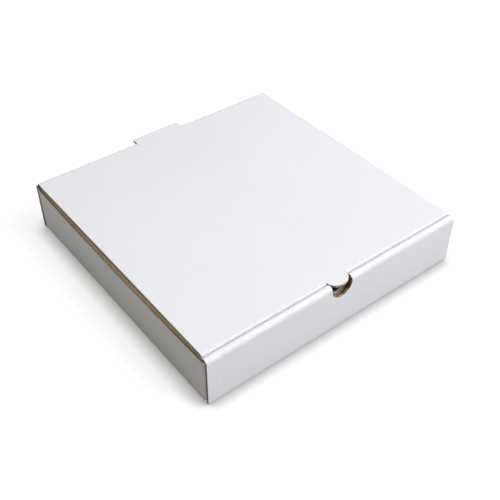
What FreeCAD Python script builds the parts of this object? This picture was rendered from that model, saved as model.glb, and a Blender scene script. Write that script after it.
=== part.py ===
import FreeCAD, Part
import math
import os
import Sketcher

# Pizza box folded from one blank of corrugated board, closed, in millimetres.
# +X runs along the front to the right, +Y from the front to the back, +Z up.
# The origin is the middle of the underside of the floor.
# The blank is one sheet: tuck flap, lid, back wall, floor, front wall and the panel
# that rolls over inside it, with a side wall and two corner flaps on each side of the
# floor. It is parted at one place only, the crease that the lid turns about.

SIZES = (
    ("width", 310.0, "outside width over the front wall"),
    ("depth", 310.0, "outside depth, front face to back face"),
    ("height", 58.0, "outside height of the closed box"),
    ("board", 2.6, "thickness of the corrugated board"),
    ("crease_inside", 0.6, "radius inside a crease"),
    ("roll_inside", 1.3, "radius inside the two softer folds of the rolled front"),
    ("layer_gap", 0.2, "air between two layers that lie against each other"),
    ("side_drop", 1.4, "air between the lid and the raw top edge of a side wall"),
    ("side_bow", 2.6, "how far a side wall's top edge bows outwards at its middle"),
    ("front_flap_length", 62.0, "corner flap inside the rolled front wall"),
    ("rear_flap_length", 54.0, "corner flap against the back wall"),
    ("flap_taper", 4.0, "how much a corner flap narrows at each edge of its free end"),
    ("flap_corner", 6.0, "corner radius of a corner flap's free end"),
    ("inner_side_gap", 0.5, "air between the rolled-in panel's end and a side wall"),
    ("lock_width", 40.0, "width of a locking tab under the rolled-in panel"),
    ("lock_spacing", 150.0, "distance between the middles of the locking tabs"),
    ("lock_gap", 0.4, "air round a locking tab in its floor slot"),
    ("notch_width", 25.0, "thumb notch, between its straight sides"),
    ("notch_depth", 17.5, "thumb notch, from the top of the front wall to its round bottom"),
    ("lid_inset", 2.0, "how far the lid's raw side edges stand inside the side walls"),
    ("lid_front_gap", 1.2, "gap between the rolled front wall and the lid's front fold"),
    ("lid_fold_inside", 2.8, "radius inside the lid's soft front fold"),
    ("lid_corner", 1.5, "radius of the lid's two front corners beside the fold"),
    ("crease_gap", 0.15, "how far each side of the lid's crease stands back"),
    ("tuck_length", 45.0, "tuck flap, from the lid's front fold to its free edge"),
    ("tuck_lean", 5.5, "angle that the tuck flap leans back, in degrees"),
    ("tuck_side_gap", 1.0, "air between an end of the lid's front fold and a side wall"),
    ("tuck_taper", 9.0, "how much the tuck flap narrows at each end of its free edge"),
    ("tuck_corner", 12.0, "corner radius of the tuck flap's free edge"),
    ("tongue_width", 24.0, "half-round tongue over the thumb notch"),
    ("tongue_reach", 10.5, "how far the tongue reaches past the lid's front fold"),
    ("tongue_gap", 0.6, "extra depth of the hole that the tongue leaves in the flap"),
    ("rear_tab_width", 60.0, "tab that stays level with the lid behind the back wall"),
    ("rear_tab_reach", 8.0, "how far that tab stands out behind the back wall"),
    ("rear_tab_corner", 1.5, "corner radius of that tab"),
    ("rear_slot_gap", 0.6, "extra room that the rear tab has in its slot"),
)

# Lengths that several features share, written as expressions on the sheet.
CREASE_OUTSIDE = "(sizes.board + sizes.crease_inside)"
ROLL_OUTSIDE = "(sizes.board + sizes.roll_inside)"
ROLL = "(3 * sizes.board + 2 * sizes.layer_gap)"
HALF_WIDTH = "(sizes.width / 2)"
HALF_DEPTH = "(sizes.depth / 2)"
SIDE_TOP = "(sizes.height - sizes.board - sizes.side_drop)"
FLAP_FACE = f"({HALF_DEPTH} - sizes.board - sizes.layer_gap)"
CREASE_REACH = f"({CREASE_OUTSIDE} + sizes.crease_inside)"
CREASE_END = f"(-{HALF_WIDTH} + {CREASE_REACH})"
WALL_INSIDE = f"(-{HALF_WIDTH} + sizes.board)"
WALL_FOOT = CREASE_REACH
SIDE_RUN = f"({FLAP_FACE} - {CREASE_REACH})"
INNER_FOOT = "(sizes.board + sizes.layer_gap)"
INNER_HALF = f"({HALF_WIDTH} - sizes.board - sizes.inner_side_gap)"
ROLL_BACK = f"(-{HALF_DEPTH} + {ROLL})"
LID_UNDER = "(sizes.height - sizes.board)"
LID_HALF = f"({HALF_WIDTH} - sizes.lid_inset)"
LID_FRONT = f"({ROLL_BACK} + sizes.lid_front_gap)"
LEAN = "sizes.tuck_lean"
TUCK_RUN = f"(sizes.tuck_length * sin({LEAN}))"
TUCK_DROP = f"(sizes.tuck_length * cos({LEAN}))"
LID_FOLD_OUTSIDE = "(sizes.board + sizes.lid_fold_inside)"
LID_FOLD_REACH = f"({LID_FOLD_OUTSIDE} / tan((90 - {LEAN}) / 2) + sizes.crease_inside)"
LID_FLAT_FRONT = f"({LID_FRONT} + {LID_FOLD_REACH})"
TUCK_HALF = f"({HALF_WIDTH} - sizes.board - sizes.tuck_side_gap)"
TONGUE_HALF = "(sizes.tongue_width / 2)"
TAB_HALF = "(sizes.rear_tab_width / 2)"
OVERSHOOT = "sizes.board"


def make_sheet(doc):
    """Put the driving sizes in a sheet, one named cell each."""
    sheet = doc.addObject("Spreadsheet::Sheet", "sizes")
    for row, (alias, value, meaning) in enumerate(SIZES, start=1):
        sheet.set(f"A{row}", meaning)
        sheet.set(f"B{row}", str(value))
        sheet.setAlias(f"B{row}", alias)
    doc.recompute()
    return sheet


def length_of(owner, expression):
    """Value of an expression on the sheet, as a plain number."""
    return float(owner.evalExpression(expression))


def origin_plane(body, role):
    """One of the body's own three base planes."""
    for feature in body.Origin.OriginFeatures:
        if feature.Role == role:
            return feature
    raise ValueError(f"{body.Label} has no plane {role}")


def new_sketch(body, name, role, height="0"):
    """Sketch on a base plane, moved along that plane's normal by an expression."""
    sketch = body.newObject("Sketcher::SketchObject", name)
    sketch.AttachmentSupport = (origin_plane(body, role), [""])
    sketch.MapMode = "FlatFace"
    sketch.setExpression("AttachmentOffset.Base.z", height)
    return sketch


def bind(sketch, kind, name, arguments, expression):
    """Add one dimension to a sketch and tie it to an expression."""
    index = sketch.addConstraint(Sketcher.Constraint(kind, *arguments, length_of(sketch, expression)))
    sketch.renameConstraint(index, name)
    sketch.setExpression(f"Constraints.{name}", expression)


def pin_point(sketch, name, geometry, spot, across, up):
    """Fix one point of a sketch at a place given by two expressions."""
    bind(sketch, "DistanceX", f"{name}_across", (-1, 1, geometry, spot), across)
    bind(sketch, "DistanceY", f"{name}_up", (-1, 1, geometry, spot), up)


def add_round(sketch, name, corner, before, after, radius):
    """Arc that rounds a corner between two lines. Returns its two tangent points."""
    size = length_of(sketch, radius)
    to_before = (before - corner).normalize()
    to_after = (after - corner).normalize()
    half_angle = to_before.getAngle(to_after) / 2
    reach = size / math.tan(half_angle)
    start = corner + to_before * reach
    end = corner + to_after * reach
    centre = corner + (to_before + to_after).normalize() * (size / math.sin(half_angle))
    turns_left = to_before.cross(to_after).z < 0
    first, last = (start, end) if turns_left else (end, start)
    circle = Part.Circle(centre, FreeCAD.Vector(0, 0, 1), size)
    first_angle = math.atan2(first.y - centre.y, first.x - centre.x)
    last_angle = math.atan2(last.y - centre.y, last.x - centre.x)
    arc = sketch.addGeometry(Part.ArcOfCircle(circle, first_angle, last_angle))
    bind(sketch, "Radius", f"{name}_round", (arc,), radius)
    return {"arc": arc, "start": start, "end": end, "start_spot": 1 if turns_left else 2}


def add_bulge(sketch, start, end, rise):
    """Arc from one corner to the next. A rise above zero stands out to the right of the way."""
    height = length_of(sketch, rise)
    if height < 0:
        start, end = end, start
    height = abs(height)
    chord = start.distanceToPoint(end)
    size = (chord * chord / 4 + height * height) / (2 * height)
    along = (end - start).normalize()
    left = FreeCAD.Vector(-along.y, along.x, 0)
    centre = (start + end) * 0.5 + left * (size - height)
    circle = Part.Circle(centre, FreeCAD.Vector(0, 0, 1), size)
    first_angle = math.atan2(start.y - centre.y, start.x - centre.x)
    last_angle = math.atan2(end.y - centre.y, end.x - centre.x)
    arc = sketch.addGeometry(Part.ArcOfCircle(circle, first_angle, last_angle))
    crown = sketch.addGeometry(Part.Point((start + end) * 0.5 - left * height), True)
    sketch.addConstraint(Sketcher.Constraint("PointOnObject", crown, 1, arc))
    return arc, crown


def draw_outline(sketch, corners):
    """Closed outline through corners given as (across, up) or (across, up, radius) expressions."""
    places = [FreeCAD.Vector(length_of(sketch, c[0]), length_of(sketch, c[1]), 0) for c in corners]
    count = len(corners)
    rounds = {}
    for index, corner in enumerate(corners):
        if len(corner) == 3:
            before = places[index - 1]
            after = places[(index + 1) % count]
            rounds[index] = add_round(sketch, f"corner{index}", places[index], before, after, corner[2])
    lines = []
    for index in range(count):
        following = (index + 1) % count
        start = rounds[index]["end"] if index in rounds else places[index]
        end = rounds[following]["start"] if following in rounds else places[following]
        lines.append(sketch.addGeometry(Part.LineSegment(start, end)))
    for index, corner in enumerate(corners):
        arriving = lines[index - 1]
        leaving = lines[index]
        name = f"corner{index}"
        if index in rounds:
            arc = rounds[index]["arc"]
            start_spot = rounds[index]["start_spot"]
            sketch.addConstraint(Sketcher.Constraint("Tangent", arriving, 2, arc, start_spot))
            sketch.addConstraint(Sketcher.Constraint("Tangent", leaving, 1, arc, 3 - start_spot))
            tip = sketch.addGeometry(Part.Point(places[index]), True)
            sketch.addConstraint(Sketcher.Constraint("PointOnObject", tip, 1, arriving))
            sketch.addConstraint(Sketcher.Constraint("PointOnObject", tip, 1, leaving))
            pin_point(sketch, name, tip, 1, corner[0], corner[1])
        else:
            sketch.addConstraint(Sketcher.Constraint("Coincident", arriving, 2, leaving, 1))
            pin_point(sketch, name, leaving, 1, corner[0], corner[1])


def draw_arched(sketch, corners, bulges):
    """Closed outline of sharp corners, some of whose edges are arcs.

    bulges gives for such an edge the place of its crown, as two expressions, and its
    rise, which is above zero where the arc stands out to the right of the way round.
    """
    places = [FreeCAD.Vector(length_of(sketch, c[0]), length_of(sketch, c[1]), 0) for c in corners]
    count = len(corners)
    edges = []
    for index in range(count):
        start = places[index]
        end = places[(index + 1) % count]
        if index not in bulges:
            edges.append((sketch.addGeometry(Part.LineSegment(start, end)), 1))
            continue
        across, up, rise = bulges[index]
        arc, crown = add_bulge(sketch, start, end, rise)
        pin_point(sketch, f"crown{index}", crown, 1, across, up)
        edges.append((arc, 1 if length_of(sketch, rise) > 0 else 2))
    for index, corner in enumerate(corners):
        arriving, arriving_start = edges[index - 1]
        leaving, leaving_start = edges[index]
        meeting = (arriving, 3 - arriving_start, leaving, leaving_start)
        sketch.addConstraint(Sketcher.Constraint("Coincident", *meeting))
        pin_point(sketch, f"corner{index}", leaving, leaving_start, corner[0], corner[1])


def pad(body, name, sketch, length, symmetric=False, reverse=False):
    """Raise a sketch into board."""
    feature = body.newObject("PartDesign::Pad", name)
    feature.Profile = sketch
    feature.setExpression("Length", length)
    feature.SideType = "Symmetric" if symmetric else "One side"
    feature.Reversed = reverse
    body.Document.recompute()
    return feature


def pocket(body, name, sketch, length, symmetric=False, reverse=False):
    """Cut a sketch out of the board."""
    feature = body.newObject("PartDesign::Pocket", name)
    feature.Profile = sketch
    feature.setExpression("Length", length)
    feature.SideType = "Symmetric" if symmetric else "One side"
    feature.Reversed = reverse
    body.Document.recompute()
    return feature


def mirror(body, name, features):
    """Repeat features of the left side on the right side."""
    repeat = body.newObject("PartDesign::Mirrored", name)
    repeat.Originals = features
    repeat.MirrorPlane = (origin_plane(body, "YZ_Plane"), [""])
    body.Tip = repeat
    body.Document.recompute()
    return repeat


def wrap_panels(body):
    """Back wall, floor, front wall, its rolled top and the panel inside, as one strip."""
    sketch = new_sketch(body, "wrap_section", "YZ_Plane")
    draw_outline(sketch, [
        (HALF_DEPTH, "sizes.height - sizes.crease_gap"),
        (HALF_DEPTH, "0", CREASE_OUTSIDE),
        (f"-{HALF_DEPTH}", "0", CREASE_OUTSIDE),
        (f"-{HALF_DEPTH}", "sizes.height", ROLL_OUTSIDE),
        (ROLL_BACK, "sizes.height", ROLL_OUTSIDE),
        (ROLL_BACK, INNER_FOOT),
        (f"{ROLL_BACK} - sizes.board", INNER_FOOT),
        (f"{ROLL_BACK} - sizes.board", LID_UNDER, "sizes.roll_inside"),
        (f"-{HALF_DEPTH} + sizes.board", LID_UNDER, "sizes.roll_inside"),
        (f"-{HALF_DEPTH} + sizes.board", "sizes.board", "sizes.crease_inside"),
        (f"{HALF_DEPTH} - sizes.board", "sizes.board", "sizes.crease_inside"),
        (f"{HALF_DEPTH} - sizes.board", f"{LID_UNDER} - sizes.crease_gap"),
    ])
    pad(body, "wrap", sketch, "sizes.width", symmetric=True)


def trim_floor_sides(body):
    """Take the floor back to the side creases, between the front and back walls."""
    for side, sign in (("left", "-"), ("right", "")):
        inner = f"{sign}({HALF_WIDTH} - {CREASE_OUTSIDE})"
        outer = f"{sign}({HALF_WIDTH} + {OVERSHOOT})"
        sketch = new_sketch(body, f"{side}_floor_trim", "XY_Plane")
        draw_outline(sketch, [
            (inner, f"-{FLAP_FACE}"),
            (outer, f"-{FLAP_FACE}"),
            (outer, FLAP_FACE),
            (inner, FLAP_FACE),
        ])
        pocket(body, f"{side}_floor_cut", sketch, CREASE_OUTSIDE, reverse=True)


def trim_rolled_panel(body):
    """Shorten the rolled-in panel so that it stands between the two side walls."""
    for side, sign in (("left", "-"), ("right", "")):
        inner = f"{sign}{INNER_HALF}"
        outer = f"{sign}({HALF_WIDTH} + {OVERSHOOT})"
        sketch = new_sketch(body, f"{side}_roll_trim", "XZ_Plane", f"-{ROLL_BACK} - {OVERSHOOT}")
        draw_outline(sketch, [
            (inner, "sizes.board"),
            (outer, "sizes.board"),
            (outer, f"{LID_UNDER} - sizes.roll_inside / 2"),
            (inner, f"{LID_UNDER} - sizes.roll_inside / 2"),
        ])
        length = f"{ROLL} - sizes.board - sizes.layer_gap + {OVERSHOOT}"
        pocket(body, f"{side}_roll_cut", sketch, length, reverse=True)


def side_wall(body):
    """Left side wall: its crease at the floor and its panel, which bows out at the top."""
    crease = new_sketch(body, "left_crease_section", "XZ_Plane")
    draw_outline(crease, [
        (CREASE_END, "0"),
        (CREASE_END, "sizes.board"),
        (WALL_INSIDE, "sizes.board", "sizes.crease_inside"),
        (WALL_INSIDE, WALL_FOOT),
        (f"-{HALF_WIDTH}", WALL_FOOT),
        (f"-{HALF_WIDTH}", "0", CREASE_OUTSIDE),
    ])
    fold = pad(body, "left_crease", crease, f"2 * {SIDE_RUN}", symmetric=True)
    corners = [
        (f"-{HALF_WIDTH}", SIDE_RUN),
        (f"-{HALF_WIDTH}", f"-{SIDE_RUN}"),
        (WALL_INSIDE, f"-{SIDE_RUN}"),
        (WALL_INSIDE, SIDE_RUN),
    ]
    foot = new_sketch(body, "left_wall_foot", "XY_Plane", WALL_FOOT)
    draw_outline(foot, corners)
    rim = new_sketch(body, "left_wall_rim", "XY_Plane", SIDE_TOP)
    draw_arched(rim, corners, {
        0: (f"-{HALF_WIDTH} - sizes.side_bow", "0", "sizes.side_bow"),
        2: (f"{WALL_INSIDE} - sizes.side_bow", "0", "-sizes.side_bow"),
    })
    wall = body.newObject("PartDesign::AdditiveLoft", "left_wall")
    wall.Profile = foot
    wall.Sections = [rim]
    wall.Ruled = True
    body.Document.recompute()
    return [fold, wall]


def corner_flap(body, end, sign, length):
    """Corner flap at one end of the left side wall, with the upright crease that turns it in."""
    bend = new_sketch(body, f"{end}_bend_section", "XY_Plane", WALL_FOOT)
    draw_outline(bend, [
        (f"-{HALF_WIDTH}", f"{sign}{SIDE_RUN}"),
        (f"-{HALF_WIDTH}", f"{sign}{FLAP_FACE}", CREASE_OUTSIDE),
        (CREASE_END, f"{sign}{FLAP_FACE}"),
        (CREASE_END, f"{sign}({FLAP_FACE} - sizes.board)"),
        (WALL_INSIDE, f"{sign}({FLAP_FACE} - sizes.board)", "sizes.crease_inside"),
        (WALL_INSIDE, f"{sign}{SIDE_RUN}"),
    ])
    turned = pad(body, f"{end}_bend", bend, f"{SIDE_TOP} - {WALL_FOOT}")
    free_end = f"-{HALF_WIDTH} + {length}"
    outline = new_sketch(body, f"{end}_flap_outline", "XZ_Plane", f"-({sign}{FLAP_FACE})")
    draw_outline(outline, [
        (CREASE_END, WALL_FOOT),
        (free_end, f"{WALL_FOOT} + sizes.flap_taper", "sizes.flap_corner"),
        (free_end, f"{SIDE_TOP} - sizes.flap_taper", "sizes.flap_corner"),
        (CREASE_END, SIDE_TOP),
    ])
    flap = pad(body, f"{end}_flap", outline, "sizes.board", reverse=(sign == "-"))
    return [turned, flap]


def locking_tabs(body):
    """Two tabs under the rolled-in panel and the floor slots that they stand in."""
    for side, sign in (("left", "-"), ("right", "")):
        middle = f"{sign}(sizes.lock_spacing / 2)"
        slot_low = f"{middle} - sizes.lock_width / 2 - sizes.lock_gap"
        slot_high = f"{middle} + sizes.lock_width / 2 + sizes.lock_gap"
        slot = new_sketch(body, f"{side}_lock_slot_outline", "XY_Plane")
        draw_outline(slot, [
            (slot_low, f"{ROLL_BACK} - sizes.board - sizes.lock_gap"),
            (slot_high, f"{ROLL_BACK} - sizes.board - sizes.lock_gap"),
            (slot_high, f"{ROLL_BACK} + sizes.lock_gap"),
            (slot_low, f"{ROLL_BACK} + sizes.lock_gap"),
        ])
        pocket(body, f"{side}_lock_slot", slot, "sizes.board", reverse=True)
        tab = new_sketch(body, f"{side}_lock_outline", "XZ_Plane", f"-{ROLL_BACK}")
        draw_outline(tab, [
            (f"{middle} - sizes.lock_width / 2", INNER_FOOT),
            (f"{middle} - sizes.lock_width / 2 + sizes.board", "sizes.layer_gap"),
            (f"{middle} + sizes.lock_width / 2 - sizes.board", "sizes.layer_gap"),
            (f"{middle} + sizes.lock_width / 2", INNER_FOOT),
        ])
        pad(body, f"{side}_lock", tab, "sizes.board")


def thumb_notch(body):
    """Round-bottomed notch through both layers of the rolled front, open at the top."""
    half = "(sizes.notch_width / 2)"
    bottom = "(sizes.height - sizes.notch_depth)"
    sketch = new_sketch(body, "notch_outline", "XZ_Plane", f"{HALF_DEPTH} + {OVERSHOOT}")
    draw_arched(sketch, [
        (f"-{half}", f"{bottom} + {half}"),
        (half, f"{bottom} + {half}"),
        (half, f"sizes.height + {OVERSHOOT}"),
        (f"-{half}", f"sizes.height + {OVERSHOOT}"),
    ], {0: ("0", bottom, half)})
    pocket(body, "notch", sketch, f"{ROLL} + 2 * {OVERSHOOT}")


def rear_slot(body):
    """Opening that the rear tab leaves in the back wall, deep enough for the tab to swing."""
    half = f"({TAB_HALF} + sizes.rear_slot_gap)"
    swing = "sqrt(sizes.rear_tab_reach ^ 2 + sizes.board ^ 2)"
    sketch = new_sketch(body, "rear_slot_outline", "XZ_Plane", f"-{HALF_DEPTH} - {OVERSHOOT}")
    draw_outline(sketch, [
        (f"-{half}", f"sizes.height - {swing} - sizes.rear_slot_gap"),
        (half, f"sizes.height - {swing} - sizes.rear_slot_gap"),
        (half, f"sizes.height + {OVERSHOOT}"),
        (f"-{half}", f"sizes.height + {OVERSHOOT}"),
    ])
    pocket(body, "rear_slot", sketch, f"sizes.board + 2 * {OVERSHOOT}", reverse=True)


def build_tray(doc):
    """Everything but the lid: floor, four walls, corner flaps and the rolled front."""
    body = doc.addObject("PartDesign::Body", "tray")
    body.Label = "tray"
    wrap_panels(body)
    trim_floor_sides(body)
    trim_rolled_panel(body)
    thumb_notch(body)
    rear_slot(body)
    locking_tabs(body)
    left_side = side_wall(body)
    left_side += corner_flap(body, "front", "-", "sizes.front_flap_length")
    left_side += corner_flap(body, "rear", "", "sizes.rear_flap_length")
    mirror(body, "right_side", left_side)
    return body


def tuck_flap(body):
    """Front fold of the lid and the flap that hangs from it behind the rolled front."""
    sketch = new_sketch(body, "tuck_section", "YZ_Plane")
    draw_outline(sketch, [
        (LID_FLAT_FRONT, "sizes.height"),
        (LID_FRONT, "sizes.height", LID_FOLD_OUTSIDE),
        (f"{LID_FRONT} + {TUCK_RUN}", f"sizes.height - {TUCK_DROP}"),
        (
            f"{LID_FRONT} + {TUCK_RUN} + sizes.board * cos({LEAN})",
            f"sizes.height - {TUCK_DROP} + sizes.board * sin({LEAN})",
        ),
        (
            f"{LID_FRONT} + sizes.board * (1 + sin({LEAN})) / cos({LEAN})",
            LID_UNDER,
            "sizes.lid_fold_inside",
        ),
        (LID_FLAT_FRONT, LID_UNDER),
    ])
    pad(body, "tuck", sketch, f"2 * {TUCK_HALF}", symmetric=True)


def trim_tuck_flap(body):
    """Taper the tuck flap towards its free edge and round the corners there."""
    shoulder = f"(sizes.height - {LID_FOLD_OUTSIDE})"
    free_edge = f"(sizes.height - {TUCK_DROP} + sizes.board * sin({LEAN}))"
    below = f"({free_edge} - 2 * {OVERSHOOT})"
    outside = f"({TUCK_HALF} + {OVERSHOOT})"
    narrow = f"({TUCK_HALF} - sizes.tuck_taper)"
    sketch = new_sketch(body, "tuck_trim", "XZ_Plane", f"-{LID_FRONT} + {OVERSHOOT}")
    draw_outline(sketch, [
        (f"-{outside}", shoulder),
        (f"-{TUCK_HALF}", shoulder),
        (f"-{narrow}", free_edge, "sizes.tuck_corner"),
        (narrow, free_edge, "sizes.tuck_corner"),
        (TUCK_HALF, shoulder),
        (outside, shoulder),
        (outside, below),
        (f"-{outside}", below),
    ])
    pocket(body, "tuck_cut", sketch, f"{TUCK_RUN} + 4 * {OVERSHOOT}")


def tongue_hole(body):
    """Half-round hole that the tongue leaves in the tuck flap, up through the fold."""
    half = f"({TONGUE_HALF} + sizes.layer_gap)"
    depth = f"({LID_FOLD_OUTSIDE} + sizes.tongue_reach + sizes.tongue_gap)"
    sketch = new_sketch(body, "tongue_hole_outline", "XZ_Plane", f"-{LID_FRONT} + {OVERSHOOT}")
    draw_arched(sketch, [
        (f"-{half}", f"sizes.height - {depth} + {half}"),
        (half, f"sizes.height - {depth} + {half}"),
        (half, f"sizes.height + {OVERSHOOT}"),
        (f"-{half}", f"sizes.height + {OVERSHOOT}"),
    ], {0: ("0", f"sizes.height - {depth}", half)})
    pocket(body, "tongue_hole", sketch, f"{LID_FOLD_REACH} + 2 * {OVERSHOOT}")


def lid_panel(body):
    """Flat panel of the lid, cut at half a right angle where it meets the back wall."""
    rear = f"({HALF_DEPTH} - sizes.crease_gap)"
    sketch = new_sketch(body, "panel_outline", "XY_Plane", LID_UNDER)
    draw_outline(sketch, [
        (f"-{LID_HALF}", rear),
        (f"-{LID_HALF}", LID_FLAT_FRONT, "sizes.lid_corner"),
        (LID_HALF, LID_FLAT_FRONT, "sizes.lid_corner"),
        (LID_HALF, rear),
    ])
    pad(body, "panel", sketch, "sizes.board")
    cut = new_sketch(body, "crease_cut_section", "YZ_Plane")
    draw_outline(cut, [
        (f"{rear} + {OVERSHOOT}", f"sizes.height + {OVERSHOOT}"),
        (f"{rear} - sizes.board - {OVERSHOOT}", f"{LID_UNDER} - {OVERSHOOT}"),
        (f"{rear} + {OVERSHOOT}", f"{LID_UNDER} - {OVERSHOOT}"),
    ])
    pocket(body, "crease_cut", cut, f"2 * {LID_HALF} + 2 * {OVERSHOOT}", symmetric=True)


def rear_tab(body):
    """Tab in the middle of the lid's rear edge, cut out of the back wall."""
    root = f"({HALF_DEPTH} - 3 * sizes.board)"
    tip = f"({HALF_DEPTH} + sizes.rear_tab_reach)"
    sketch = new_sketch(body, "rear_tab_outline", "XY_Plane", LID_UNDER)
    draw_outline(sketch, [
        (f"-{TAB_HALF}", root),
        (TAB_HALF, root),
        (TAB_HALF, tip, "sizes.rear_tab_corner"),
        (f"-{TAB_HALF}", tip, "sizes.rear_tab_corner"),
    ])
    pad(body, "rear_tab", sketch, "sizes.board")


def tongue(body):
    """Half-round tongue in the middle of the lid's front, level with the lid."""
    sketch = new_sketch(body, "tongue_outline", "XY_Plane", LID_UNDER)
    draw_arched(sketch, [
        (f"-{TONGUE_HALF}", LID_FLAT_FRONT),
        (f"-{TONGUE_HALF}", LID_FRONT),
        (TONGUE_HALF, LID_FRONT),
        (TONGUE_HALF, LID_FLAT_FRONT),
    ], {1: ("0", f"{LID_FRONT} - sizes.tongue_reach", "sizes.tongue_reach")})
    pad(body, "tongue", sketch, "sizes.board")


def build_lid(doc):
    """The lid with its tuck flap, its front tongue and its rear tab."""
    body = doc.addObject("PartDesign::Body", "lid")
    body.Label = "lid"
    tuck_flap(body)
    trim_tuck_flap(body)
    tongue_hole(body)
    lid_panel(body)
    rear_tab(body)
    tongue(body)
    return body


def check_document(doc, bodies):
    """Stop if a feature failed, did nothing, or left a body that isn't one sound solid."""
    for item in doc.Objects:
        if "Invalid" in item.State or "Error" in item.State:
            raise RuntimeError(f"{item.Name} failed: {item.State}")
    for feature in doc.Objects:
        if feature.TypeId not in ("PartDesign::Pad", "PartDesign::Pocket"):
            continue
        before = feature.BaseFeature.Shape.Volume if feature.BaseFeature else 0.0
        change = feature.Shape.Volume - before
        if feature.TypeId == "PartDesign::Pocket":
            change = -change
        if change <= 0:
            raise RuntimeError(f"{feature.Name} changed nothing")
    for body in bodies:
        shape = body.Shape
        if shape.isNull() or not shape.isValid() or len(shape.Solids) != 1:
            raise RuntimeError(f"{body.Label} isn't one sound solid")


def main():
    """Build both nodes, check them and write each to its own file."""
    doc = FreeCAD.newDocument("pizza_box")
    make_sheet(doc)
    bodies = [build_tray(doc), build_lid(doc)]
    doc.recompute()
    check_document(doc, bodies)
    os.makedirs("parts", exist_ok=True)
    for body in bodies:
        body.Shape.exportStep(f"parts/{body.Label}.step")
        box = body.Shape.BoundBox
        extent = f"{box.XLength:.2f} x {box.YLength:.2f} x {box.ZLength:.2f} mm"
        print(f"{body.Label}: {extent}, {body.Shape.Volume / 1000:.1f} cubic centimetres")


main()
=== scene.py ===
"""A closed pizza box of folded corrugated board, dressed for its portrait.

Every panel is built as board is made: a white outer liner, a kraft inner liner and a
wavy fluting paper between them. Lengths are metres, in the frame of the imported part:
+X to the right along the front, +Y from the front to the back, +Z up.
"""

from __future__ import annotations

import logging
import math
from collections.abc import Callable, Iterable, Sequence
from dataclasses import dataclass
from enum import Enum
from functools import partial

import bmesh
import bpy
from mathutils import Matrix, Vector

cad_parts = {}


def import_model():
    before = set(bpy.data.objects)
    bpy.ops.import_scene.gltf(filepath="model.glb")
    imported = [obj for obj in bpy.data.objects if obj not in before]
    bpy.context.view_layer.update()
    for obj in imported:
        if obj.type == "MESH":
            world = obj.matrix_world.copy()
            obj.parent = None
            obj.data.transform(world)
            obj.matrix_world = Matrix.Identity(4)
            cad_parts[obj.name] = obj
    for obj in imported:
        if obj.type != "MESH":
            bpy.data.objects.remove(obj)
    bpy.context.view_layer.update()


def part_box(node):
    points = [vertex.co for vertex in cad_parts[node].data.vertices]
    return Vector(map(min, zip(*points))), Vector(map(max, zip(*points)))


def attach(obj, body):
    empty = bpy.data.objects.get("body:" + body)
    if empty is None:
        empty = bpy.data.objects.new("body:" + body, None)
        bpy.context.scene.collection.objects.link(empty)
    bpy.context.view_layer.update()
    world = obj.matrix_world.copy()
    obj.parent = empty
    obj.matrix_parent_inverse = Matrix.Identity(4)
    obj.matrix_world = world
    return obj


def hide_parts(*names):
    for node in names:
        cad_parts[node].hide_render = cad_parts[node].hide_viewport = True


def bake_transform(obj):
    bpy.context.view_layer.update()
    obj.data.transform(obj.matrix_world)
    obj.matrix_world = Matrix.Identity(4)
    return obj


LOG = logging.getLogger("pizza_box")
RIGHT_ANGLE = 90.0
# Distance between columns on the liners.
COARSE_STEP = 0.012
# Share of a step within which an even column gives way to a fixed one.
MERGE_SHARE = 0.2
# Two numbers in a plane, and three in space or of a colour.
Pair = tuple[float, float]
Triple = tuple[float, float, float]
Socket = bpy.types.NodeSocket


class Side(Enum):
    """The two halves of the box, with the sign of x on each."""

    LEFT = -1
    RIGHT = 1


class Ply(Enum):
    """The three papers of the board, in the order of a piece's material slots."""

    OUTER = 0
    INNER = 1
    FLUTING = 2


@dataclass(frozen=True)
class Board:
    """Single-wall corrugated board.

    The plies are given as shares of the thickness, from the outer face (0) to the
    inner face (1).

    Attributes:
        thickness: Thickness over all three papers.
        liner_share: Share of it that each liner takes.
        fluting_share: Share of it that the fluting paper itself takes.
        pitch: Distance from one flute to the next.
        steps_per_flute: Number of columns that a flute is drawn with.
    """

    thickness: float = 0.0026
    liner_share: float = 0.10
    fluting_share: float = 0.07
    pitch: float = 0.0065
    steps_per_flute: int = 8

    @property
    def fine_step(self) -> float:
        """Distance between columns that shows the flutes."""
        return self.pitch / self.steps_per_flute

    def wave(self, phase: float) -> float:
        """Share of the thickness at which the fluting paper's middle lies.

        Args:
            phase: Distance across the flutes, counted in flutes.

        Returns:
            The depth as a share of the thickness.
        """
        swing = 0.5 - self.liner_share - self.fluting_share / 2
        return 0.5 + swing * math.cos(2 * math.pi * phase)


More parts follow.
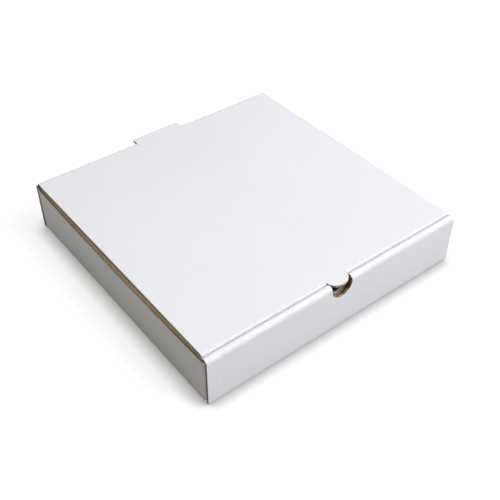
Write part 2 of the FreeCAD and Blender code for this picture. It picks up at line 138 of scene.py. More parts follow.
@dataclass(frozen=True)
class BoxSizes:
    """Driving sizes of the box. Those that the frame knows are read from it.

    Attributes:
        depth: Distance over the front and back walls.
        height: Height of the rolled front wall and of the lid's upper face.
        lid_half: Half of the lid's width.
        tongue_tip: Furthest point of the tongue, along y.
        tab_tip: Furthest point of the rear tab, along y.
        width: Distance over the creases of the side walls.
        crease_inside: Inner radius of a sharp crease.
        roll_front: Outer radius of the front roll's first bend.
        roll_rear: Outer radius of its second bend.
        layer_gap: Air between two layers that lie together.
        side_drop: How much lower than the lid's underside a side wall ends.
        side_bow: How far a side wall's middle bows out.
        side_spread: How far its whole top edge leans out.
        inner_bow: Share of these two that its inner face follows.
        rim_liner: Share of the outer liner's thickness left at its raw edge.
        front_setback: How far each end of the front wall stands back.
        edge_crush: Width of the crushed strip at the lid's raw side edges.
        rim_bevel: How much lower a raw top edge is outside than inside.
        rim_press: Height over which its fluting is pressed to the inner liner.
        front_flap: Length of a front corner flap.
        rear_flap: Length of a rear corner flap.
        flap_taper: How much a corner flap narrows at each edge.
        flap_corner: Radius of its corners.
        inner_side_gap: Air beside the rolled-in panel.
        lock_width: Width of a locking tab.
        lock_spacing: Distance between the middles of the two locking tabs.
        lock_gap: Air round a locking tab.
        notch_half: Half of the thumb notch's width.
        notch_depth: Depth of the thumb notch.
        notch_sheet: How far below the notch its board is laid in the notch's curve.
        lid_front_gap: Air between the rolled front wall and the lid's fold.
        lid_fold_inside: Inner radius of the lid's front fold.
        tuck_length: Length of the tuck flap.
        tuck_lean: How far it leans back, in degrees.
        tuck_side_gap: Air beside it.
        tuck_taper: How much it narrows at each side.
        tuck_corner: Radius of its corners.
        tongue_half: Half of the tongue's width.
        tongue_gap: How much deeper than the tongue its hole in the tuck flap is.
        hole_sheet: How far below the hole its board is laid in the hole's curve.
        tab_half: Half of the rear tab's width.
        tab_corner: Radius of its corners.
        slot_gap: Air round the rear tab in its slot.
        elbow_reach: How far past the board's thickness the lid's bending strip goes.
        board: The board that the box is made of.
    """

    depth: float
    height: float
    lid_half: float
    tongue_tip: float
    tab_tip: float
    width: float = 0.310
    crease_inside: float = 0.0006
    roll_front: float = 0.0046
    roll_rear: float = 0.0036
    layer_gap: float = 0.0002
    side_drop: float = 0.0002
    side_bow: float = 0.0021
    side_spread: float = 0.0005
    inner_bow: float = 0.35
    rim_liner: float = 0.15
    front_setback: float = 0.0007
    edge_crush: float = 0.0002
    rim_bevel: float = 0.0012
    rim_press: float = 0.0060
    front_flap: float = 0.062
    rear_flap: float = 0.054
    flap_taper: float = 0.004
    flap_corner: float = 0.006
    inner_side_gap: float = 0.0005
    lock_width: float = 0.040
    lock_spacing: float = 0.150
    lock_gap: float = 0.0004
    notch_half: float = 0.0125
    notch_depth: float = 0.0175
    notch_sheet: float = 0.003
    lid_front_gap: float = 0.0003
    lid_fold_inside: float = 0.0004
    tuck_length: float = 0.045
    tuck_lean: float = 5.5
    tuck_side_gap: float = 0.001
    tuck_taper: float = 0.009
    tuck_corner: float = 0.012
    tongue_half: float = 0.012
    tongue_gap: float = 0.0095
    hole_sheet: float = 0.002
    tab_half: float = 0.030
    tab_corner: float = 0.0015
    slot_gap: float = 0.0003
    elbow_reach: float = 0.004
    board: Board = Board()

    @classmethod
    def from_frame(cls) -> BoxSizes:
        """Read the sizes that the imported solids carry.

        Returns:
            The sizes of this box.
        """
        tray_low, tray_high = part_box("tray")
        lid_low, lid_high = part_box("lid")
        return cls(
            depth=tray_high.y - tray_low.y,
            height=tray_high.z - tray_low.z,
            lid_half=lid_high.x,
            tongue_tip=lid_low.y,
            tab_tip=lid_high.y,
        )

    @property
    def half_width(self) -> float:
        """Half of the width over the front wall."""
        return self.width / 2

    @property
    def half_depth(self) -> float:
        """Half of the depth over the front and back walls."""
        return self.depth / 2

    @property
    def crease_outside(self) -> float:
        """Outer radius of a sharp crease."""
        return self.board.thickness + self.crease_inside

    @property
    def roll_back(self) -> float:
        """Place of the rolled front wall's inner face, along y."""
        return -self.half_depth + 3 * self.board.thickness + 2 * self.layer_gap

    @property
    def flap_face(self) -> float:
        """Distance of a corner flap's outer face from the middle, along y."""
        return self.half_depth - self.board.thickness - self.layer_gap

    @property
    def side_top(self) -> float:
        """Height of a side wall's raw top edge."""
        return self.height - self.board.thickness - self.side_drop

    @property
    def wall_foot(self) -> float:
        """Height at which a side wall leaves its crease."""
        return self.crease_outside + self.crease_inside

    @property
    def side_run(self) -> float:
        """Half of the length of a side wall between its two upright creases."""
        return self.flap_face - self.wall_foot

    @property
    def inner_foot(self) -> float:
        """Height of the rolled-in panel's lower edge."""
        return self.board.thickness + self.layer_gap

    @property
    def inner_half(self) -> float:
        """Half of the rolled-in panel's width."""
        return self.half_width - self.board.thickness - self.inner_side_gap

    @property
    def lock_edges(self) -> Pair:
        """Near and far end of a locking tab's slot, from the middle along x."""
        return (
            (self.lock_spacing - self.lock_width) / 2 - self.lock_gap,
            (self.lock_spacing + self.lock_width) / 2 + self.lock_gap,
        )

    @property
    def slot_half(self) -> float:
        """Half of the width of the rear tab's slot."""
        return self.tab_half + self.slot_gap

    @property
    def notch_shoulder(self) -> float:
        """Height at which the notch's straight sides meet its round bottom."""
        return self.height - self.notch_depth + self.notch_half

    @property
    def notch_base(self) -> float:
        """Height of the cross line up to which the board follows the notch's curve."""
        return self.height - self.notch_depth - self.notch_sheet

    @property
    def lid_front(self) -> float:
        """Place of the lid's front fold, along y."""
        return self.roll_back + self.lid_front_gap

    @property
    def slot_bottom(self) -> float:
        """Height of the lower edge of the rear tab's slot."""
        reach = self.tab_tip - self.half_depth
        return self.height - math.hypot(reach, self.board.thickness) - self.slot_gap

    @property
    def elbow_foot(self) -> float:
        """Distance from the lid's crease line at which the bending strip ends."""
        return self.board.thickness + self.elbow_reach


@dataclass(frozen=True)
class Spot:
    """One place on a sheet of board.

    Attributes:
        outer: Point on the outer face.
        inner: Point on the inner face.
        phase: Distance across the flutes, counted in flutes.
        bend: How hard the board is folded here, from 0 to 1.
        liner: Share of the outer liner's thickness that a cut edge leaves.
    """

    outer: Vector
    inner: Vector
    phase: float
    bend: float = 0.0
    liner: float = 1.0

    def at(self, share: float) -> Vector:
        """Point at a share of the thickness, from the outer face."""
        return self.outer.lerp(self.inner, share)


@dataclass(frozen=True)
class Station:
    """One cross line of a folded strip, in the plane that it is folded in.

    Attributes:
        outer: Point on the outer face.
        inner: Point on the inner face.
        run: Distance walked along the outer face.
        bend: How hard the board is folded here, from 0 to 1.
    """

    outer: Pair
    inner: Pair
    run: float
    bend: float


class FoldedStrip:
    """Walks along the outer face of a strip of board, with that face on the left."""

    def __init__(self, start: Pair, heading: float, thickness: float) -> None:
        """Start at a point of the outer face.

        Args:
            start: First point, in the folding plane.
            heading: Direction of the walk in degrees, from the plane's first axis.
            thickness: Thickness of the board.
        """
        self.place = start
        self.heading = math.radians(heading)
        self.thickness = thickness
        self.walked = 0.0
        self.stations: list[Station] = []
        self.marks: dict[str, int] = {}
        self._drop(0.0)

    def _drop(self, bend: float) -> None:
        """Leave a station at the present place."""
        left = (-math.sin(self.heading), math.cos(self.heading))
        inner = (
            self.place[0] - left[0] * self.thickness,
            self.place[1] - left[1] * self.thickness,
        )
        self.stations.append(Station(self.place, inner, self.walked, bend))

    def _marked(self, mark: str) -> FoldedStrip:
        """Keep the last station's number under a name, and give back the strip."""
        if mark:
            self.marks[mark] = len(self.stations) - 1
        return self

    def go(self, length: float, mark: str = "") -> FoldedStrip:
        """Walk straight on.

        Args:
            length: Distance to walk.
            mark: Name for the station at the end.

        Returns:
            The strip itself, so that steps can be chained.
        """
        self.place = (
            self.place[0] + math.cos(self.heading) * length,
            self.place[1] + math.sin(self.heading) * length,
        )
        self.walked += length
        self._drop(0.0)
        return self._marked(mark)

    def turn(self, angle: float, outside: float, steps: int, mark: str = "") -> FoldedStrip:
        """Walk round a fold to the right.

        Args:
            angle: Angle of the fold in degrees.
            outside: Radius of the outer face in the fold.
            steps: Number of short runs that the fold is made of.
            mark: Name for the station at the end.

        Returns:
            The strip itself, so that steps can be chained.
        """
        step = math.radians(angle) / steps
        right = (math.sin(self.heading), -math.cos(self.heading))
        centre = (
            self.place[0] + right[0] * outside,
            self.place[1] + right[1] * outside,
        )
        for index in range(1, steps + 1):
            self.heading -= step
            left = (-math.sin(self.heading), math.cos(self.heading))
            self.place = (
                centre[0] + left[0] * outside,
                centre[1] + left[1] * outside,
            )
            self.walked += step * outside
            self._drop(math.sin(math.pi * index / steps))
        return self._marked(mark)


class Sheet:
    """A folded sheet as quads between spots. Spots at one place are shared.

    GRAIN is how many steps a metre is counted in when two places are compared.
    """

    GRAIN = 1e6

    def __init__(self) -> None:
        """Start with no spot and no quad."""
        self.spots: list[Spot] = []
        self.quads: list[tuple[int, ...]] = []
        self._known: dict[tuple[int, ...], int] = {}

    def add(self, spot: Spot) -> int:
        """Number of a spot, new or already there."""
        key = tuple(round(c * self.GRAIN) for c in (*spot.outer, *spot.inner))
        if key not in self._known:
            self._known[key] = len(self.spots)
            self.spots.append(spot)
        return self._known[key]

    def lay(
        self,
        columns: list[float],
        rows: int,
        place: Callable[[float, int], Spot],
        keep: Callable[[float, int], bool] = lambda column, row: True,
    ) -> None:
        """Lay a grid of quads.

        Args:
            columns: Positions across the flutes.
            rows: Number of cross lines along the flutes.
            place: Gives the spot of a column's position and a row's number.
            keep: Tells from the middle of a cell's columns and its first row's number
                whether the cell is board or a hole.
        """
        for before, after in zip(columns, columns[1:]):
            middle = (before + after) / 2
            for row in range(rows - 1):
                if not keep(middle, row):
                    continue
                corners = (
                    self.add(place(before, row)),
                    self.add(place(after, row)),
                    self.add(place(after, row + 1)),
                    self.add(place(before, row + 1)),
                )
                if len(set(corners)) == len(corners):
                    self.quads.append(corners)

    def rim(self) -> list[tuple[int, int]]:
        """Edges that only one quad has, in that quad's own direction."""
        seen: dict[tuple[int, int], int] = {}
        for quad in self.quads:
            for a, b in zip(quad, quad[1:] + quad[:1]):
                key = (min(a, b), max(a, b))
                seen[key] = seen.get(key, 0) + 1
        return [
            (a, b)
            for quad in self.quads
            for a, b in zip(quad, quad[1:] + quad[:1])
            if seen[(min(a, b), max(a, b))] == 1
        ]


def mirrored(places: Iterable[float]) -> list[float]:
    """Each position with its mirror image, left one first."""
    return [sign * place for place in places for sign in (-1, 1)]


def even_columns(
    low: float, high: float, step: float, marks: Iterable[float] = ()
) -> list[float]:
    """Positions from low to high, about a step apart, with some fixed ones among them.

    Args:
        low: First position.
        high: Last position.
        step: Distance between two positions where no fixed one comes between.
        marks: Positions that have to be there.

    Returns:
        The positions in rising order.
    """
    count = max(1, round((high - low) / step))
    places = [low + (high - low) * index / count for index in range(count + 1)]
    fixed = [low, high] + [mark for mark in marks if low <= mark <= high]
    near = step * MERGE_SHARE
    kept = [p for p in places if all(abs(p - mark) > near for mark in fixed)]
    return sorted(set(kept + fixed))


def numbers(items: Sequence[object]) -> list[float]:
    """The numbers of a list's items, as positions of columns."""
    return [float(index) for index in range(len(items))]


def arch_columns(half: float, count: int = 16) -> list[float]:
    """Positions over a half-round edge, closer together towards its two ends."""
    return [half * math.sin(math.pi * (index / count - 0.5)) for index in range(count + 1)]


def arch(half: float, across: float) -> float:
    """Height of a half circle at a distance from its middle."""
    return math.sqrt(max(0.0, half * half - across * across))


def new_object(name: str, data: bpy.types.ID) -> bpy.types.Object:
    """Put a mesh, lamp or camera into the scene as an object."""
    made = bpy.data.objects.new(name, data)
    bpy.context.scene.collection.objects.link(made)
    return made


class BoardMesh:
    """Collects the three plies of a sheet into one mesh.

    FOLD_ANGLE is the angle between two faces above which their edge looks sharp.
    """

    FOLD_ANGLE = math.radians(32)

    def __init__(self, name: str, board: Board) -> None:
        """Start an empty mesh.

        Args:
            name: Name of the piece.
            board: The board that it is made of.
        """
        self.name = name
        self.board = board
        self.points: list[Vector] = []
        self.faces: list[tuple[int, ...]] = []
        self.plies: list[int] = []
        self.phases: list[float] = []
        self.bends: list[float] = []

    def add_ply(
        self,
        sheet: Sheet,
        ply: Ply,
        near: Callable[[Spot], float],
        far: Callable[[Spot], float],
    ) -> None:
        """Add one paper as a closed thin slab.

        Args:
            sheet: Where the board lies.
            ply: Which paper it is.
            near: Depth of the paper's outer face at a spot, as a share.
            far: Depth of its inner face.
        """
        first = len(self.points)
        count = len(sheet.spots)
        for depth in (near, far):
            for spot in sheet.spots:
                self.points.append(spot.at(depth(spot)))
                self.phases.append(spot.phase)
                self.bends.append(spot.bend)
        for quad in sheet.quads:
            self.faces.append(tuple(first + i for i in quad))
            self.faces.append(tuple(first + count + i for i in reversed(quad)))
        for a, b in sheet.rim():
            self.faces.append((first + b, first + a, first + count + a, first + count + b))
        self.plies += [ply.value] * (len(self.faces) - len(self.plies))

    def add_board(self, lay: Callable[[float], Sheet], step: float = COARSE_STEP) -> None:
        """Add all three papers.

        Args:
            lay: Lays the sheet with a given distance between columns.
            step: That distance for the two liners. The fluting takes a closer one.
        """
        liner = self.board.liner_share
        half = self.board.fluting_share / 2
        wave = self.board.wave
        coarse = lay(step)
        self.add_ply(coarse, Ply.OUTER, lambda s: 0.0, lambda s: liner * s.liner)
        self.add_ply(coarse, Ply.INNER, lambda s: 1 - liner, lambda s: 1.0)
        self.add_ply(
            lay(self.board.fine_step),
            Ply.FLUTING,
            lambda s: wave(s.phase) - half,
            lambda s: wave(s.phase) + half,
        )

    def build(self, finishes: dict[Ply, bpy.types.Material]) -> bpy.types.Object:
        """Make the Blender object.

        Args:
            finishes: The material of each paper.

        Returns:
            The object, linked to the scene.
        """
        mesh = bpy.data.meshes.new(self.name)
        mesh.from_pydata([tuple(p) for p in self.points], [], self.faces)
        for ply in Ply:
            mesh.materials.append(finishes[ply])
        mesh.polygons.foreach_set("material_index", self.plies)
        for title, values in (("flute_phase", self.phases), ("fold_bend", self.bends)):
            layer = mesh.attributes.new(title, "FLOAT", "POINT")
            layer.data.foreach_set("value", values)
        work = bmesh.new()
        work.from_mesh(mesh)
        bmesh.ops.recalc_face_normals(work, faces=work.faces)
        for face in work.faces:
            face.smooth = True
        for edge in work.edges:
            if len(edge.link_faces) == 2 and edge.calc_face_angle() > self.FOLD_ANGLE:
                edge.smooth = False
        work.to_mesh(mesh)
        work.free()
        return new_object(self.name, mesh)


@dataclass(frozen=True)
class Noise:
    """Soft noise in the object's own space.

    Attributes:
        scale: Blobs per metre.
        detail: Number of finer layers.
        stretch: Factors on the three axes, below 1 where blobs are longer.
    """

    scale: float
    detail: float
    stretch: Triple = (1, 1, 1)


class Nodes:
    """Adds and links the nodes of a material or of the world."""

    def __init__(self, owner: bpy.types.Material | bpy.types.World) -> None:
        """Take up a node tree.

        Args:
            owner: What the tree belongs to.
        """
        owner.use_nodes = True
        self.tree = owner.node_tree

    def add(self, kind: str, **settings: object) -> bpy.types.Node:
        """Add a node.

        Args:
            kind: Blender's name of the node type.
            **settings: Properties to set on it.

        Returns:
            The node.
        """
        node = self.tree.nodes.new(kind)
        for title, value in settings.items():
            setattr(node, title, value)
        return node

    def link(self, source: Socket, target: Socket) -> None:
        """Join an output to an input."""
        self.tree.links.new(source, target)

    def feed(self, target: Socket, value: object) -> None:
        """Give an input either another node's output or a fixed value."""
        if isinstance(value, Socket):
            self.link(value, target)
        else:
            target.default_value = value

    def attribute(self, title: str) -> Socket:
        """Value that the mesh carries under a name."""
        return self.add("ShaderNodeAttribute", attribute_name=title).outputs["Fac"]

    def calc(self, operation: str, first: object, second: object = 0.0) -> Socket:
        """Result of an operation on one or two values.

        Args:
            operation: Blender's name of the operation.
            first: First value or socket.
            second: Second value or socket.

        Returns:
            The result's socket.
        """
        node = self.add("ShaderNodeMath", operation=operation)
        self.feed(node.inputs[0], first)
        self.feed(node.inputs[1], second)
        return node.outputs[0]

    def spread(self, value: Socket, span: Pair, result: Pair = (0.0, 1.0)) -> Socket:
        """Stretch part of a value's range to another range, cut off at both ends.

        Args:
            value: The value's socket.
            span: Lower and upper end of the part.
            result: What these two ends become.

        Returns:
            The result's socket.
        """
        node = self.add("ShaderNodeMapRange")
        self.link(value, node.inputs["Value"])
        ends = ("From Min", "From Max", "To Min", "To Max")
        for title, end in zip(ends, (*span, *result)):
            node.inputs[title].default_value = end
        return node.outputs["Result"]

    def noise(self, kind: Noise) -> Socket:
        """Value of a noise.

        Args:
            kind: The noise.

        Returns:
            The value's socket, about 0.5 on average.
        """
        space = self.add("ShaderNodeTexCoord").outputs["Object"]
        mapping = self.add("ShaderNodeMapping")
        mapping.inputs["Scale"].default_value = kind.stretch
        self.link(space, mapping.inputs["Vector"])
        node = self.add("ShaderNodeTexNoise")
        node.inputs["Scale"].default_value = kind.scale
        node.inputs["Detail"].default_value = kind.detail
        self.link(mapping.outputs["Vector"], node.inputs["Vector"])
        return node.outputs["Fac"]

    def reach(self) -> Socket:
        """Distance from the object's own origin."""
        node = self.add("ShaderNodeVectorMath", operation="LENGTH")
        self.link(self.add("ShaderNodeTexCoord").outputs["Object"], node.inputs[0])
        return node.outputs["Value"]

    def blend(self, share: object, first: object, second: object) -> Socket:
        """Mix of two colours.

        Args:
            share: Share of the second colour, as a number or a socket.
            first: First colour, as RGBA or a socket.
            second: Second colour.

        Returns:
            The mixed colour's socket.
        """
        node = self.add("ShaderNodeMix", data_type="RGBA")
        self.feed(node.inputs["Factor"], share)
        self.feed(node.inputs["A"], first)
        self.feed(node.inputs["B"], second)
        return node.outputs["Result"]

    def bump(
        self,
        height: Socket,
        depth: float,
        strength: float,
        under: Socket | None = None,
    ) -> Socket:
        """Relief from a height.

        Args:
            height: Height from 0 to 1.
            depth: Real depth of the relief.
            strength: Share of it that shows.
            under: Relief that this one lies on.

        Returns:
            The normal's socket.
        """
        node = self.add("ShaderNodeBump")
        node.inputs["Strength"].default_value = strength
        node.inputs["Distance"].default_value = depth
        self.link(height, node.inputs["Height"])
        if under is not None:
            self.link(under, node.inputs["Normal"])
        return node.outputs["Normal"]


class Shader(Nodes):
    """The nodes of one new material."""

    def __init__(self, name: str) -> None:
        """Start a material with an output node only.

        Args:
            name: Name of the material.
        """
        self.material = bpy.data.materials.new(name)
        super().__init__(self.material)
        self.tree.nodes.clear()
        self.output = self.add("ShaderNodeOutputMaterial")

    def finish(self, surface: Socket) -> bpy.types.Material:
        """Give the material its surface.

        Args:
            surface: The surface's socket.

        Returns:
            The material.
        """
        self.link(surface, self.output.inputs["Surface"])
        return self.material


@dataclass(frozen=True)
class Paper:
    """A paper face: its fibres, cloudy tone, flute lines with painted shade, and folds with
    wear and painted shade.

    Attributes:
        name: Name of the material.
        pale: Lighter colour, linear.
        dark: Darker colour of its cloudy tone, and the colour of the painted shade along the
            flutes.
        fleck: Colour of single fibres and specks.
        fold_wear_and_shade: Colour mixed in at folds. On all papers it is the cracked
            surface; on the white liner it is also painted shade that dulls the fold's
            highlight.
        fleck_share: How strongly fibres and specks show.
        flute_shade: How much painted shade darkens the paper over each flute's hollow.
        fold_wear_and_shade_share: How strongly a fold's wear and painted shade show.
        gloss: Specular level.
        roughness: Middle of the roughness range.
        fibre_depth: Real depth of the fibre relief.
        flute_depth: Real depth of the flute lines.

    The noises and the parts of their range that show are alike on all papers.
    """

    CLOUDS = Noise(9.0, 4.0)
    CLOUD_SPAN = (0.32, 0.68)
    FIBRES_ALONG = Noise(700.0, 5.0, (1.0, 0.18, 0.45))
    FIBRES_ACROSS = Noise(900.0, 3.0, (0.3, 1.0, 1.0))
    FLECK_SPAN = (0.58, 0.74)
    CRACKS = Noise(420.0, 3.0, (0.35, 1.0, 1.0))
    CRACK_SPAN = (0.38, 0.60)
    BEND_SPAN = (0.25, 1.0)
    ROUGH_SPAN = (0.3, 0.7)
    ROUGH_SWING = 0.08
    FLUTE_STRENGTH = 0.6
    FIBRE_STRENGTH = 0.5

    name: str
    pale: Triple
    dark: Triple
    fleck: Triple
    fold_wear_and_shade: Triple
    fleck_share: float
    flute_shade: float
    fold_wear_and_shade_share: float
    gloss: float
    roughness: float
    fibre_depth: float
    flute_depth: float

    def material(self) -> bpy.types.Material:
        """Build the node tree.

        Returns:
            The material.
        """
        shader = Shader(self.name)
        cloud = shader.spread(shader.noise(self.CLOUDS), self.CLOUD_SPAN)
        tone = shader.blend(cloud, (*self.pale, 1), (*self.dark, 1))
        lengthwise = shader.noise(self.FIBRES_ALONG)
        crosswise = shader.noise(self.FIBRES_ACROSS)
        fibre = shader.calc("MULTIPLY", shader.calc("ADD", lengthwise, crosswise), 0.5)
        flecks = shader.spread(fibre, self.FLECK_SPAN, (0.0, self.fleck_share))
        tone = shader.blend(flecks, tone, (*self.fleck, 1))
        # Painted shade: the paper darkens in bands over the flutes' hollows, on top of the
        # ribs' relief.
        turns = shader.calc("MULTIPLY", shader.attribute("flute_phase"), 2 * math.pi)
        wave = shader.spread(shader.calc("COSINE", turns), (-1.0, 1.0))
        flute_shade_mask = shader.calc("MULTIPLY", wave, self.flute_shade)
        tone = shader.blend(flute_shade_mask, tone, (*self.dark, 1))
        # Folds take crack wear. On the white liner this grey is also painted shade over the
        # fold's highlight.
        crack = shader.spread(shader.noise(self.CRACKS), self.CRACK_SPAN)
        bend = shader.spread(shader.attribute("fold_bend"), self.BEND_SPAN)
        fold_wear_and_shade_mask = shader.calc("MULTIPLY", shader.calc("MULTIPLY", crack, bend), self.fold_wear_and_shade_share)
        tone = shader.blend(fold_wear_and_shade_mask, tone, (*self.fold_wear_and_shade, 1))
        surface = shader.add("ShaderNodeBsdfPrincipled")
        surface.inputs["Specular IOR Level"].default_value = self.gloss
        shader.link(tone, surface.inputs["Base Color"])
        ends = (self.roughness - self.ROUGH_SWING, self.roughness + self.ROUGH_SWING)
        rough = shader.spread(fibre, self.ROUGH_SPAN, ends)
        shader.link(rough, surface.inputs["Roughness"])
        ribs = shader.bump(wave, self.flute_depth, self.FLUTE_STRENGTH)
        relief = shader.bump(fibre, self.fibre_depth, self.FIBRE_STRENGTH, ribs)
        shader.link(relief, surface.inputs["Normal"])
        return shader.finish(surface.outputs["BSDF"])


# Besides crack wear, the white liner's grey fold tone is painted shade that dulls the
# highlight on its folds.
WHITE_LINER = Paper(
    name="white_liner",
    pale=(0.875, 0.880, 0.905),
    dark=(0.845, 0.850, 0.880),
    fleck=(0.78, 0.775, 0.79),
    fold_wear_and_shade=(0.74, 0.735, 0.735),
    fleck_share=0.35,
    flute_shade=0.10,
    fold_wear_and_shade_share=0.75,
    gloss=0.35,
    roughness=0.52,
    fibre_depth=0.00006,
    flute_depth=0.00004,
)
KRAFT_LINER = Paper(
    name="kraft_liner",
    pale=(0.50, 0.335, 0.195),
    dark=(0.42, 0.27, 0.15),
    fleck=(0.25, 0.155, 0.085),
    fold_wear_and_shade=(0.58, 0.42, 0.27),
    fleck_share=0.55,
    flute_shade=0.35,
    fold_wear_and_shade_share=0.45,
    gloss=0.25,
    roughness=0.72,
    fibre_depth=0.00010,
    flute_depth=0.00010,
)
FLUTING = Paper(
    name="fluting_paper",
    pale=(0.72, 0.60, 0.48),
    dark=(0.64, 0.52, 0.40),
    fleck=(0.22, 0.15, 0.09),
    fold_wear_and_shade=(0.88, 0.78, 0.66),
    fleck_share=0.50,
    flute_shade=0.0,
    fold_wear_and_shade_share=1.0,
    gloss=0.2,
    roughness=0.8,
    fibre_depth=0.00010,
    flute_depth=0.00001,
)


@dataclass(frozen=True)
class TableTop:
    """Pale ground that the camera sees as white and that throws back little light.

    Attributes:
        seen: Grey that the camera sees lit.
        thrown_back: Grey that throws light back at the box.
        lift: Glow that the camera sees on top of it.
        contact_shadow_reach: Distance within which the painted contact shadow darkens the
            ground round the box.
        contact_shadow_floor: Least share of light that the painted contact shadow leaves
            under the box.
        far_start: Distance from the box at which the glow starts to rise.
        far_end: Distance at which it has risen in full.
        far_lift: How much it rises.
        grain: Faint unevenness of the surface.
        grain_span: Part of its range that shows.
        grain_tone: Share of light at the two ends of that part.
    """

    seen: float = 0.35
    thrown_back: float = 0.30
    lift: float = 0.78
    contact_shadow_reach: float = 0.018
    contact_shadow_floor: float = 0.45
    far_start: float = 0.35
    far_end: float = 1.2
    far_lift: float = 0.30
    grain: Noise = Noise(60.0, 3.0)
    grain_span: Pair = (0.3, 0.7)
    grain_tone: Pair = (0.985, 1.0)

    def material(self) -> bpy.types.Material:
        """Build the node tree.

        Returns:
            The material.
        """
        shader = Shader("table_top")
        path = shader.add("ShaderNodeLightPath").outputs
        direct = shader.calc("MAXIMUM", path["Is Camera Ray"], path["Is Glossy Ray"])
        grain = shader.spread(shader.noise(self.grain), self.grain_span, self.grain_tone)
        # Painted contact shadow: ambient occlusion darkens the ground's colour and glow near
        # the box.
        painted_contact_shadow = shader.add("ShaderNodeAmbientOcclusion")
        painted_contact_shadow.inputs["Distance"].default_value = self.contact_shadow_reach
        contact_shadow_share = shader.calc("MAXIMUM", painted_contact_shadow.outputs["AO"], self.contact_shadow_floor)
        seen = shader.calc("MULTIPLY", shader.calc("MULTIPLY", grain, contact_shadow_share), self.seen)
        tone = shader.blend(
            direct,
            (self.thrown_back, self.thrown_back, self.thrown_back, 1),
            shader.blend(seen, (0, 0, 0, 1), (1, 1, 1, 1)),
        )
        ground = shader.add("ShaderNodeBsdfDiffuse")
        shader.link(tone, ground.inputs["Color"])
        glow = shader.add("ShaderNodeEmission")
        span = (self.far_start, self.far_end)
        far = shader.spread(shader.reach(), span, (0.0, self.far_lift))
        lift = shader.calc("ADD", shader.calc("MULTIPLY", contact_shadow_share, self.lift), far)
        shader.link(shader.calc("MULTIPLY", direct, lift), glow.inputs["Strength"])
        both = shader.add("ShaderNodeAddShader")
        shader.link(ground.outputs["BSDF"], both.inputs[0])
        shader.link(glow.outputs["Emission"], both.inputs[1])
        return shader.finish(both.outputs["Shader"])


